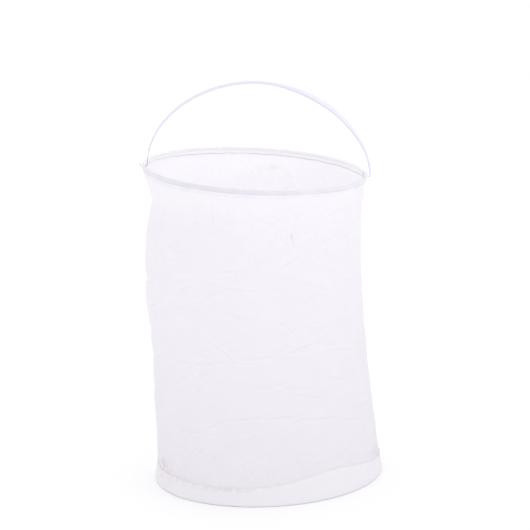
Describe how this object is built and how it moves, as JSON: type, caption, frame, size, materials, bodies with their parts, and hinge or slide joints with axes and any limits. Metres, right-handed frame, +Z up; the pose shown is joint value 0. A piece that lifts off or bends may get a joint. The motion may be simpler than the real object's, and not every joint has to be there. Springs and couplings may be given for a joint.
{
  "type": "paper lantern",
  "caption": "Collapsible paper lantern: an open paper cylinder between wire rings, with a card base, a tea light cup and a white bail handle.",
  "frame": {"origin": "centre of the underside of the base tray, which stands on a table", "axes": "+Z up the lantern's axis; the bail pivots at the -X and +X sides of the mouth; -Y is the front"},
  "size_m": [0.1823, 0.182, 0.3191],
  "materials": {
    "white_paper": "matt, thin and crumpled",
    "galvanised_wire": "dull grey drawn wire",
    "white_card": "matt",
    "tinned_sheet": "bright pressed tin",
    "white_plastic": "satin"
  },
  "bodies": {
    "base": {"bottom_ring": "galvanised_wire", "bottom_binding": "white_paper", "base_tray": "white_card", "candle_cup": "tinned_sheet", "paper_tier_1": "white_paper"},
    "tier_2": {"paper_tier_2": "white_paper"},
    "tier_3": {"paper_tier_3": "white_paper"},
    "tier_4": {"paper_tier_4": "white_paper"},
    "tier_5": {"paper_tier_5": "white_paper"},
    "tier_6": {"paper_tier_6": "white_paper"},
    "tier_7": {"paper_tier_7": "white_paper"},
    "mouth": {"paper_tier_8": "white_paper", "top_ring": "galvanised_wire", "top_binding": "white_paper"},
    "handle": {"handle_wire": "galvanised_wire", "handle_sleeve": "white_plastic"}
  },
  "joints": [
    {"name": "collapse", "type": "slide", "parent": "base", "child": "mouth", "axis": [0, 0, -1], "range_m": [0, 0.1892]},
    {"name": "fold_2", "type": "slide", "parent": "base", "child": "tier_2", "axis": [0, 0, -1], "range_m": [0, 0.0271]},
    {"name": "fold_3", "type": "slide", "parent": "base", "child": "tier_3", "axis": [0, 0, -1], "range_m": [0, 0.0542]},
    {"name": "fold_4", "type": "slide", "parent": "base", "child": "tier_4", "axis": [0, 0, -1], "range_m": [0, 0.0813]},
    {"name": "fold_5", "type": "slide", "parent": "base", "child": "tier_5", "axis": [0, 0, -1], "range_m": [0, 0.1084]},
    {"name": "fold_6", "type": "slide", "parent": "base", "child": "tier_6", "axis": [0, 0, -1], "range_m": [0, 0.1355]},
    {"name": "fold_7", "type": "slide", "parent": "base", "child": "tier_7", "axis": [0, 0, -1], "range_m": [0, 0.1626]},
    {"name": "handle_swing", "type": "hinge", "parent": "mouth", "child": "handle", "pos_m": [-0.00028, 0, 0.24701], "axis": [0.9956, 0, -0.0941], "range_deg": [-70, 70]}
  ],
  "couplings": [
    {"joint": "fold_2", "follows": "collapse", "ratio": 0.14286},
    {"joint": "fold_3", "follows": "collapse", "ratio": 0.28571},
    {"joint": "fold_4", "follows": "collapse", "ratio": 0.42857},
    {"joint": "fold_5", "follows": "collapse", "ratio": 0.57143},
    {"joint": "fold_6", "follows": "collapse", "ratio": 0.71429},
    {"joint": "fold_7", "follows": "collapse", "ratio": 0.85714}
  ]
}
